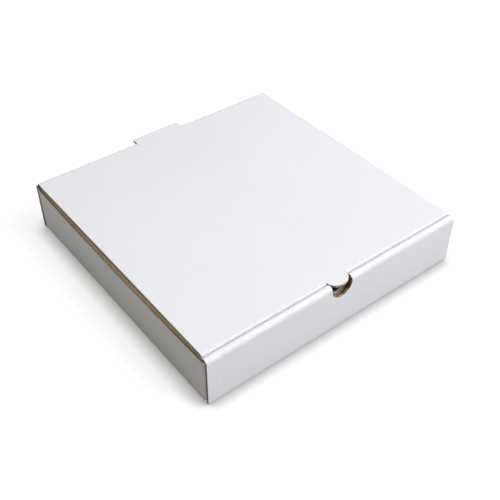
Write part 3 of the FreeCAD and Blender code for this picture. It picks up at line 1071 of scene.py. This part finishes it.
@dataclass
class Tray:
    """Floor, back wall, rolled front wall, side walls and corner flaps.

    Attributes:
        sizes: Sizes of the box.
        finishes: The material of each paper.
        crease_steps: Number of short runs in a crease.
        fold_steps: The same in each bend of the rolled front wall.
        side_rows: Number of runs along a side wall, closer together towards its ends.
        flap_rows: Cross lines of a corner flap, as shares of its flat length.
        corner_steps: Number of short runs round a corner flap's corner.
    """

    sizes: BoxSizes
    finishes: dict[Ply, bpy.types.Material]
    crease_steps: int = 6
    fold_steps: int = 9
    side_rows: int = 26
    flap_rows: Triple = (0.02, 0.35, 0.7)
    corner_steps: int = 6

    def _strip(self) -> FoldedStrip:
        """Section through the back wall, floor, front wall, roll and panel inside.

        Returns:
            The strip, in the plane of y and z.
        """
        s = self.sizes
        crease = s.crease_outside
        strip = FoldedStrip((s.half_depth, s.side_top), -RIGHT_ANGLE, s.board.thickness)
        strip.go(s.side_top - (s.height - s.elbow_foot), "elbow_foot")
        strip.go(s.height - s.elbow_foot - s.slot_bottom, "slot_bottom")
        strip.go(s.slot_bottom - crease)
        strip.turn(RIGHT_ANGLE, crease, self.crease_steps, "floor_rear")
        strip.go(s.half_depth - crease - (s.roll_back + s.lock_gap), "lock_rear")
        strip.go(s.board.thickness + 2 * s.lock_gap, "lock_front")
        ahead = s.half_depth - crease + s.roll_back - s.board.thickness - s.lock_gap
        strip.go(ahead, "floor_front")
        strip.turn(RIGHT_ANGLE, crease, self.crease_steps)
        strip.go(s.notch_base - crease, "notch_base")
        strip.go(s.notch_shoulder - s.notch_base, "notch_shoulder")
        strip.go(s.height - s.roll_front - s.notch_shoulder)
        strip.turn(RIGHT_ANGLE, s.roll_front, self.fold_steps)
        strip.go(3 * s.board.thickness + 2 * s.layer_gap - s.roll_front - s.roll_rear)
        strip.turn(RIGHT_ANGLE, s.roll_rear, self.fold_steps, "inner_top")
        strip.go(s.height - s.roll_rear - s.notch_shoulder, "inner_shoulder")
        strip.go(s.notch_shoulder - s.notch_base, "inner_base")
        strip.go(s.notch_base - s.inner_foot)
        return strip

    def _keep(self, strip: FoldedStrip) -> Callable[[float, int], bool]:
        """Rule that tells the strip's board from its holes and trimmed ends.

        Args:
            strip: The section.

        Returns:
            The rule, for a place across and a row's number.
        """
        s = self.sizes
        marks = strip.marks
        lock_low, lock_high = s.lock_edges

        def is_board(x: float, row: int) -> bool:
            """Whether the cell at this place is board."""
            x = abs(x)
            if row < marks["elbow_foot"]:
                return x > s.lid_half
            if row < marks["slot_bottom"]:
                return x > s.slot_half
            if marks["floor_rear"] <= row < marks["floor_front"]:
                in_slot = marks["lock_rear"] <= row < marks["lock_front"]
                if in_slot and lock_low < x < lock_high:
                    return False
                return x < s.half_width - s.crease_outside
            if marks["notch_shoulder"] <= row < marks["inner_shoulder"] and x < s.notch_half:
                return False
            # The roll's last run is already as narrow as the panel inside.
            if row >= marks["inner_top"] - 1:
                return x < s.inner_half
            if row >= marks["floor_front"]:
                return x < s.half_width - s.front_setback
            return True

        return is_board

    def _place(self, strip: FoldedStrip) -> Callable[[float, int], Spot]:
        """Rule that gives the spots of the wrapped strip, round the notch's bottom too.

        Args:
            strip: The section.

        Returns:
            The rule, for a place across and a row's number.
        """
        s = self.sizes
        marks = strip.marks
        front = (marks["notch_base"], marks["notch_shoulder"])
        inside = (marks["inner_shoulder"], marks["inner_base"])
        base = s.notch_base

        def spot(x: float, row: int) -> Spot:
            """Spot at this place across and this row."""
            station = strip.stations[row]
            (outer_y, outer_z), (inner_y, inner_z) = station.outer, station.inner
            beside = front[0] <= row <= front[1] or inside[0] <= row <= inside[1]
            if beside and abs(x) <= s.notch_half:
                drop = arch(s.notch_half, x) * (outer_z - base) / (s.notch_shoulder - base)
                outer_z -= drop
                inner_z -= drop
            return Spot(
                Vector((x, outer_y, outer_z)),
                Vector((x, inner_y, inner_z)),
                x / s.board.pitch,
                station.bend,
            )

        return spot

    def _wrapped(self, step: float) -> Sheet:
        """Lay the strip that wraps from the back wall to the rolled-in panel.

        Args:
            step: Distance between columns.

        Returns:
            The sheet.
        """
        s = self.sizes
        strip = self._strip()
        marks = mirrored(
            (
                s.half_width - s.crease_outside,
                s.inner_half,
                s.half_width - s.front_setback,
                s.lid_half,
                s.slot_half,
                *s.lock_edges,
            )
        )
        marks += arch_columns(s.notch_half)
        columns = even_columns(-s.half_width, s.half_width, step, marks)
        sheet = Sheet()
        sheet.lay(columns, len(strip.stations), self._place(strip), self._keep(strip))
        return sheet

    def _locks(self, step: float) -> Sheet:
        """Lay the two locking tabs under the rolled-in panel.

        Args:
            step: Distance between columns.

        Returns:
            The sheet.
        """
        s = self.sizes
        sheet = Sheet()
        half = s.lock_width / 2
        levels = (s.inner_foot, s.layer_gap)
        for side in Side:
            middle = side.value * s.lock_spacing / 2

            def spot(across: float, row: int, middle: float = middle) -> Spot:
                """Spot of a tab, which narrows downwards."""
                narrow = 1 - row * s.board.thickness / half
                x = middle + across * narrow
                outer = Vector((x, s.roll_back, levels[row]))
                inner = Vector((x, s.roll_back - s.board.thickness, levels[row]))
                return Spot(outer, inner, x / s.board.pitch)

            sheet.lay(even_columns(-half, half, step), 2, spot)
        return sheet

    def _side_columns(self, step: float) -> list[tuple[Station, float]]:
        """Cross section of a side wall with its lower crease.

        Args:
            step: Distance between columns on the wall.

        Returns:
            Stations in the plane of x and z, each with its distance across the flutes.
            It is 0 along the raw top edge, where the fluting is pressed to the inner
            liner.
        """
        s = self.sizes
        start = s.half_width - s.wall_foot
        strip = FoldedStrip((-start, 0.0), 2 * RIGHT_ANGLE, s.board.thickness)
        strip.go(s.wall_foot - s.crease_outside)
        strip.turn(RIGHT_ANGLE, s.crease_outside, self.crease_steps)
        strip.go(s.wall_foot - s.crease_outside)
        levels = even_columns(s.wall_foot, s.side_top, step)
        for low, high in zip(levels, levels[1:]):
            strip.go(high - low)
        return [
            (station, min(0.0, station.run - strip.walked + s.rim_press))
            for station in strip.stations
        ]

    def _bevel(self, station: Station) -> float:
        """How much lower a side wall's outer face ends than its inner face.

        Args:
            station: A place on the wall's cross section.

        Returns:
            The drop, which is 0 where the wall is lower than the bevel.
        """
        s = self.sizes
        below = s.side_top - station.outer[1]
        return max(0.0, s.rim_bevel - below)

    def _side(self, side: Side, step: float) -> Sheet:
        """Lay a side wall with its crease and its two corner flaps.

        Args:
            side: Which side.
            step: Distance between columns.

        Returns:
            The sheet.
        """
        s = self.sizes
        sign = -side.value
        columns = self._side_columns(step)
        heights = [station.outer[1] for station, _ in columns]
        foot = next(i for i, z in enumerate(heights) if math.isclose(z, s.wall_foot))
        tall = s.side_top - s.wall_foot
        places = arch_columns(s.side_run, self.side_rows)

        def wall_spot(index: float, row: int) -> Spot:
            """Spot of the wall or its crease."""
            station, across = columns[round(index)]
            y = places[row]
            share = max(0.0, (station.outer[1] - s.wall_foot) / tall)
            bow = share * (s.side_bow * (1 - (y / s.side_run) ** 2) + s.side_spread)
            rim = station.outer[1] - self._bevel(station)
            return Spot(
                Vector((sign * (station.outer[0] - bow), y, rim)),
                Vector((sign * (station.inner[0] - bow * s.inner_bow), y, station.inner[1])),
                across / s.board.pitch,
                station.bend,
                s.rim_liner if station is columns[-1][0] else 1.0,
            )

        sheet = Sheet()
        sheet.lay(numbers(columns), len(places), wall_spot)
        for end, length in ((-1, s.front_flap), (1, s.rear_flap)):
            self._lay_flap(sheet, sign, end, length, columns[foot:])
        return sheet

    def _lay_flap(
        self,
        sheet: Sheet,
        sign: int,
        end: int,
        length: float,
        columns: list[tuple[Station, float]],
    ) -> None:
        """Lay a corner flap and the upright crease that turns it in.

        Args:
            sheet: The sheet of the side wall.
            sign: 1 for the left wall, -1 for the right one.
            end: -1 at the front, 1 at the back.
            length: Length of the flap from the side wall's outer face.
            columns: The wall's columns above its crease.
        """
        s = self.sizes
        tall = s.side_top - s.wall_foot
        strip = FoldedStrip((-s.half_width, s.side_run), RIGHT_ANGLE, s.board.thickness)
        strip.go(s.flap_face - s.side_run - s.crease_outside)
        strip.turn(RIGHT_ANGLE, s.crease_outside, self.crease_steps, "flap")
        flat = length - s.crease_outside
        runs = [flat * share for share in self.flap_rows]
        for index in range(self.corner_steps + 1):
            rounded = 1 - math.sin(math.pi * index / (2 * self.corner_steps))
            runs.append(flat - s.flap_corner * rounded)
        walked = 0.0
        for run in runs:
            strip.go(run - walked)
            walked = run
        stations = strip.stations
        start = stations[strip.marks["flap"]].run

        def trim(run: float) -> float:
            """How much the flap is narrower at each edge."""
            along = max(0.0, run - start)
            slope = s.flap_taper * along / flat
            past = max(0.0, along - (flat - s.flap_corner))
            return slope + s.flap_corner - arch(s.flap_corner, past)

        def flap_spot(index: float, row: int) -> Spot:
            """Spot of the flap or its upright crease."""
            station, across = columns[round(index)]
            bent = stations[row]
            cut = trim(bent.run)
            z = s.wall_foot + cut + (station.outer[1] - s.wall_foot) * (1 - 2 * cut / tall)
            out = s.side_spread * (station.outer[1] - s.wall_foot) / tall
            rim = z - self._bevel(station)
            return Spot(
                Vector((sign * (bent.outer[0] - out), end * bent.outer[1], rim)),
                Vector((sign * (bent.inner[0] - out * s.inner_bow), end * bent.inner[1], z)),
                across / s.board.pitch,
                bent.bend,
            )

        sheet.lay(numbers(columns), len(stations), flap_spot)

    def build(self) -> list[bpy.types.Object]:
        """Make the tray's pieces and put them on their body.

        Returns:
            The pieces.
        """
        board = self.sizes.board
        wrap = BoardMesh("tray_wrap", board)
        wrap.add_board(self._wrapped)
        wrap.add_board(self._locks)
        pieces = [wrap.build(self.finishes)]
        for side in Side:
            wall = BoardMesh(f"side_wall_{side.name.lower()}", board)
            wall.add_board(partial(self._side, side), COARSE_STEP / 2)
            pieces.append(wall.build(self.finishes))
        for piece in pieces:
            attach(piece, "tray")
        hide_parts("tray")
        return pieces


@dataclass
class Lid:
    """Lid panel with its front fold, tuck flap, tongue and rear tab.

    Attributes:
        sizes: Sizes of the box.
        finishes: The material of each paper.
        fold_steps: Number of short runs in the front fold.
        tab_lines: Columns at the rear tab's corners, as shares of their radius.
    """

    sizes: BoxSizes
    finishes: dict[Ply, bpy.types.Material]
    fold_steps: int = 12
    tab_lines: tuple[float, ...] = (1, 0.5, 0.2, 0.05)

    def _strip(self) -> FoldedStrip:
        """Section from the tuck flap's free edge over the fold to the lid's rear.

        Returns:
            The strip, in the plane of y and z.
        """
        s = self.sizes
        lean = math.radians(s.tuck_lean)
        outside, reach = self._fold()
        tongue = s.lid_front - s.tongue_tip
        hole_base = s.height - outside - tongue - s.tongue_gap - s.hole_sheet
        start = (
            s.lid_front + s.tuck_length * math.sin(lean),
            s.height - s.tuck_length * math.cos(lean),
        )
        strip = FoldedStrip(start, RIGHT_ANGLE + s.tuck_lean, s.board.thickness)
        strip.go(s.tuck_corner)
        strip.go((hole_base - start[1]) / math.cos(lean) - s.tuck_corner, "hole_base")
        strip.go((self._hole_shoulder() - hole_base) / math.cos(lean), "hole_shoulder")
        strip.go(s.tuck_length - reach - strip.walked)
        strip.turn(RIGHT_ANGLE + s.tuck_lean, outside, self.fold_steps, "fold_end")
        strip.go(s.crease_inside, "flat_front")
        strip.go(s.half_depth - s.elbow_foot - strip.place[0])
        return strip

    def _fold(self) -> Pair:
        """Outer radius of the front fold, and the distance that it takes from each panel."""
        s = self.sizes
        outside = s.board.thickness + s.lid_fold_inside
        return outside, outside / math.tan(math.radians((RIGHT_ANGLE - s.tuck_lean) / 2))

    def _pinch(self, y: float, z: float) -> Pair:
        """Move a point of the fold's outer face towards the pressed, squarer corner.

        Args:
            y: Its place along y on a round fold.
            z: Its height on a round fold.

        Returns:
            Its place along y and its height on the pressed fold.
        """
        s = self.sizes
        outside, reach = self._fold()
        centre_y = s.lid_front + reach
        centre_z = s.height - outside
        forward = (centre_y - y) / outside
        up = (z - centre_z) / outside
        return (
            centre_y - outside * math.sqrt(max(0.0, forward)),
            centre_z + outside * (math.sqrt(up) if up > 0 else up),
        )

    def _phase(self, x: float) -> float:
        """Flute count at a place across the lid.

        The last flute at each raw side edge is crushed by the cutting die, so that it
        drops from the outer to the inner liner within a short way.

        Args:
            x: The place across.

        Returns:
            The distance across the flutes, in flutes.
        """
        s = self.sizes
        crest = s.lid_half - s.edge_crush
        past = abs(x) - crest
        scale = s.board.pitch if past < 0 else 2 * s.edge_crush
        return math.copysign(0.5 + crest / s.board.pitch // 1 + past / scale, x)

    def _hole_shoulder(self) -> float:
        """Height at which the tongue's hole starts to round off."""
        s = self.sizes
        depth = self._fold()[0] + (s.lid_front - s.tongue_tip) + s.tongue_gap
        return s.height - depth + s.tongue_half + s.layer_gap

    def _panel(self, step: float) -> Sheet:
        """Lay the lid panel, its fold and the tuck flap.

        Args:
            step: Distance between columns.

        Returns:
            The sheet.
        """
        s = self.sizes
        strip = self._strip()
        marks = strip.marks
        hole = s.tongue_half + s.layer_gap
        # The tuck flap's taper leaves the columns round the hole where they are.
        even_half = 2 * hole
        tuck_half = s.half_width - s.board.thickness - s.tuck_side_gap
        base_z = strip.stations[marks["hole_base"]].outer[1]
        shoulder_z = self._hole_shoulder()
        slide = math.tan(math.radians(s.tuck_lean))
        shoulder_row = marks["fold_end"] - self.fold_steps
        free_z = strip.stations[0].outer[1]
        tuck_tall = strip.stations[shoulder_row].outer[1] - free_z

        def spot(x: float, row: int) -> Spot:
            """Spot of the lid at this place across and this row."""
            station = strip.stations[row]
            (outer_y, outer_z), (inner_y, inner_z) = station.outer, station.inner
            place = x
            if row <= shoulder_row:
                above = outer_z - free_z
                down = 1 - above / tuck_tall
                near_edge = max(0.0, s.tuck_corner - above)
                side = s.tuck_taper * down + s.tuck_corner - arch(s.tuck_corner, near_edge)
                place = x * (1 - side / tuck_half) if abs(x) > even_half else x
            if marks["hole_base"] <= row <= marks["hole_shoulder"] and abs(x) <= hole:
                drop = arch(hole, x) * (outer_z - base_z) / (shoulder_z - base_z)
                outer_z -= drop
                inner_z -= drop
                outer_y += drop * slide
                inner_y += drop * slide
            if shoulder_row < row < marks["fold_end"]:
                outer_y, outer_z = self._pinch(outer_y, outer_z)
            crushed = abs(x) > s.lid_half - s.edge_crush / 2
            return Spot(
                Vector((place, outer_y, outer_z)),
                Vector((place, inner_y, inner_z)),
                self._phase(x),
                1.0 if crushed else station.bend,
            )

        def is_board(x: float, row: int) -> bool:
            """Whether the cell at this place is board."""
            x = abs(x)
            if row >= marks["flat_front"]:
                return True
            if row >= marks["hole_shoulder"] and x < hole:
                return False
            return x < tuck_half or row >= shoulder_row

        fixed = mirrored((tuck_half, s.tongue_half, s.tab_half, even_half))
        fixed += arch_columns(hole)
        fixed += mirrored((s.lid_half - s.edge_crush, s.lid_half - s.edge_crush / 2))
        columns = even_columns(-s.lid_half, s.lid_half, step, fixed)
        sheet = Sheet()
        sheet.lay(columns, len(strip.stations), spot, is_board)
        self._lay_tongue(sheet, step, strip.stations[marks["flat_front"]].outer[0])
        self._lay_tab(sheet, step, strip.stations[-1].outer[0])
        return sheet

    def _lay_level(
        self, sheet: Sheet, columns: list[float], root: float, edge: Callable[[float], float]
    ) -> None:
        """Lay a piece that stands out from the lid and is level with it.

        Args:
            sheet: The lid's sheet.
            columns: Positions across the piece.
            root: Where it leaves the lid, along y.
            edge: Gives the place of its free edge, along y, at a position across.
        """
        s = self.sizes

        def spot(x: float, row: int) -> Spot:
            """Spot at the root or at the free edge."""
            y = root if row == 0 else edge(x)
            return Spot(
                Vector((x, y, s.height)),
                Vector((x, y, s.height - s.board.thickness)),
                self._phase(x),
            )

        sheet.lay(columns, 2, spot)

    def _lay_tongue(self, sheet: Sheet, step: float, root: float) -> None:
        """Lay the half-round tongue.

        Args:
            sheet: The lid's sheet.
            step: Distance between columns.
            root: Where it leaves the lid, along y.
        """
        s = self.sizes
        half = s.tongue_half
        rise = (s.lid_front - s.tongue_tip) / half
        columns = even_columns(-half, half, step, arch_columns(half))
        self._lay_level(sheet, columns, root, lambda x: s.lid_front - arch(half, x) * rise)

    def _lay_tab(self, sheet: Sheet, step: float, root: float) -> None:
        """Lay the rear tab.

        Args:
            sheet: The lid's sheet.
            step: Distance between columns.
            root: Where it leaves the lid, along y.
        """
        s = self.sizes
        straight = s.tab_half - s.tab_corner

        def edge(x: float) -> float:
            """Place of the tab's free edge, with its rounded corners."""
            past = max(0.0, abs(x) - straight)
            return s.tab_tip - s.tab_corner + arch(s.tab_corner, past)

        fixed = mirrored(s.tab_half - s.tab_corner * share for share in self.tab_lines)
        columns = even_columns(-s.tab_half, s.tab_half, step, fixed)
        self._lay_level(sheet, columns, root, edge)

    def build(self) -> list[bpy.types.Object]:
        """Make the lid and put it on its body.

        Returns:
            The pieces.
        """
        mesh = BoardMesh("lid_panel", self.sizes.board)
        mesh.add_board(self._panel)
        piece = mesh.build(self.finishes)
        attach(piece, "lid")
        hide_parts("lid")
        return [piece]


@dataclass
class LidCrease:
    """The crease that the lid turns about, as a strip of board with one right-angle bend.

    Attributes:
        sizes: Sizes of the box.
        finishes: The material of each paper.
        fold_steps: Number of short runs in the crease.
    """

    sizes: BoxSizes
    finishes: dict[Ply, bpy.types.Material]
    fold_steps: int = 8

    def _sheet(self, side: Side, step: float) -> Sheet:
        """Lay one half of the crease, beside the rear tab.

        Args:
            side: Which half.
            step: Distance between columns.

        Returns:
            The sheet.
        """
        s = self.sizes
        crease = s.crease_outside
        start = (s.half_depth - s.elbow_foot, s.height)
        strip = FoldedStrip(start, 0.0, s.board.thickness)
        straight = (s.elbow_foot - crease) / 2
        strip.go(straight).go(straight)
        strip.turn(RIGHT_ANGLE, crease, self.fold_steps)
        strip.go(straight).go(straight)

        def spot(x: float, row: int) -> Spot:
            """Spot of the crease."""
            station = strip.stations[row]
            return Spot(
                Vector((x, *station.outer)),
                Vector((x, *station.inner)),
                x / s.board.pitch,
                station.bend,
            )

        low, high = sorted((side.value * s.slot_half, side.value * s.lid_half))
        sheet = Sheet()
        sheet.lay(even_columns(low, high, step), len(strip.stations), spot)
        return sheet

    def build(self) -> list[bpy.types.Object]:
        """Make both halves, each with its right-angle bend, on neither body.

        Returns:
            The pieces.
        """
        s = self.sizes
        pieces = []
        for side in Side:
            mesh = BoardMesh(f"lid_crease_{side.name.lower()}", s.board)
            mesh.add_board(partial(self._sheet, side))
            piece = mesh.build(self.finishes)
            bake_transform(piece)
            pieces.append(piece)
        return pieces


@dataclass(frozen=True)
class Lamp:
    """A soft square lamp.

    Attributes:
        name: Name of the lamp.
        place: Where it stands.
        size: Length of its side.
        power: Power in watts.
        tint: Colour of its light.
    """

    name: str
    place: Triple
    size: float
    power: float
    tint: Triple = (0.97, 0.985, 1.05)

    def build(self, aim: Vector) -> None:
        """Add the lamp.

        Args:
            aim: Point that it faces.
        """
        light = bpy.data.lights.new(self.name, "AREA")
        light.size = self.size
        light.energy = self.power
        light.color = self.tint
        lamp = new_object(self.name, light)
        lamp.location = self.place
        lamp.rotation_mode = "QUATERNION"
        lamp.rotation_quaternion = (aim - lamp.location).to_track_quat("-Z", "Y")


@dataclass(frozen=True)
class Studio:
    """Pale ground, plain surroundings and soft lamps.

    Attributes:
        ground_half: Half of the ground's side.
        ground_drop: How far it lies under the box.
        ambient: Colour of the light from all round.
        aim: Point that the lamps face.
        lamps: The lamps.
    """

    ground_half: float = 6.0
    ground_drop: float = 0.0003
    ambient: Triple = (0.285, 0.272, 0.232)
    aim: Triple = (0, 0, 0.03)
    lamps: tuple[Lamp, ...] = (
        Lamp("key_lamp", (1.35, -1.76, 2.3), size=1.6, power=91.0),
        Lamp("top_lamp", (0.3, 0.3, 2.2), size=1.6, power=7.5),
    )

    def build(self) -> None:
        """Add the ground, the world and the lamps."""
        half = self.ground_half
        signs = ((-1, -1), (1, -1), (1, 1), (-1, 1))
        corners = [(x * half, y * half, -self.ground_drop) for x, y in signs]
        mesh = bpy.data.meshes.new("ground")
        mesh.from_pydata(corners, [], [(0, 1, 2, 3)])
        mesh.materials.append(TableTop().material())
        new_object("ground", mesh)
        for lamp in self.lamps:
            lamp.build(Vector(self.aim))
        self._surroundings()

    def _surroundings(self) -> None:
        """Make the world white to the camera and a plain soft light to the box."""
        world = bpy.data.worlds.new("surroundings")
        bpy.context.scene.world = world
        nodes = Nodes(world)
        path = nodes.add("ShaderNodeLightPath").outputs
        seen = nodes.calc("MAXIMUM", path["Is Camera Ray"], path["Is Transmission Ray"])
        glow = nodes.blend(seen, (*self.ambient, 1), (1, 1, 1, 1))
        nodes.link(glow, nodes.tree.nodes["Background"].inputs["Color"])


@dataclass(frozen=True)
class PortraitCamera:
    """Camera at the photograph's place.

    Attributes:
        azimuth: Direction in degrees. At 0 the camera looks along +Y.
        elevation: Angle above the ground in degrees.
        distance: Distance from the target.
        roll: Turn about the line of sight in degrees.
        lens: Focal length in millimetres.
        target: Point in the middle of the picture.
    """

    azimuth: float = -38.27
    elevation: float = 42.05
    distance: float = 0.7978
    roll: float = 0.34
    lens: float = 55.76
    target: Triple = (-0.0156, -0.0362, 0.0225)

    def build(self) -> None:
        """Add the camera and make it the scene's own."""
        across = math.radians(self.azimuth)
        up = math.radians(self.elevation)
        back = Vector(
            (math.sin(across) * math.cos(up), -math.cos(across) * math.cos(up), math.sin(up))
        )
        data = bpy.data.cameras.new("portrait")
        data.lens = self.lens
        camera = new_object("portrait", data)
        facing = (-back).to_track_quat("-Z", "Y").to_matrix().to_4x4()
        spin = Matrix.Rotation(math.radians(self.roll), 4, "Z")
        place = Matrix.Translation(Vector(self.target) + back * self.distance)
        camera.matrix_world = place @ facing @ spin
        bpy.context.scene.camera = camera


def main() -> None:
    """Build the box, the studio and the camera in order."""
    logging.basicConfig(level=logging.INFO, format="%(name)s: %(message)s")
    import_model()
    bpy.context.scene.view_settings.view_transform = "Standard"
    sizes = BoxSizes.from_frame()
    finishes = {
        Ply.OUTER: WHITE_LINER.material(),
        Ply.INNER: KRAFT_LINER.material(),
        Ply.FLUTING: FLUTING.material(),
    }
    for part in (Tray(sizes, finishes), Lid(sizes, finishes), LidCrease(sizes, finishes)):
        for piece in part.build():
            LOG.info("%s: %d faces", piece.name, len(piece.data.polygons))
    Studio().build()
    PortraitCamera().build()


if __name__ == "__main__":
    main()
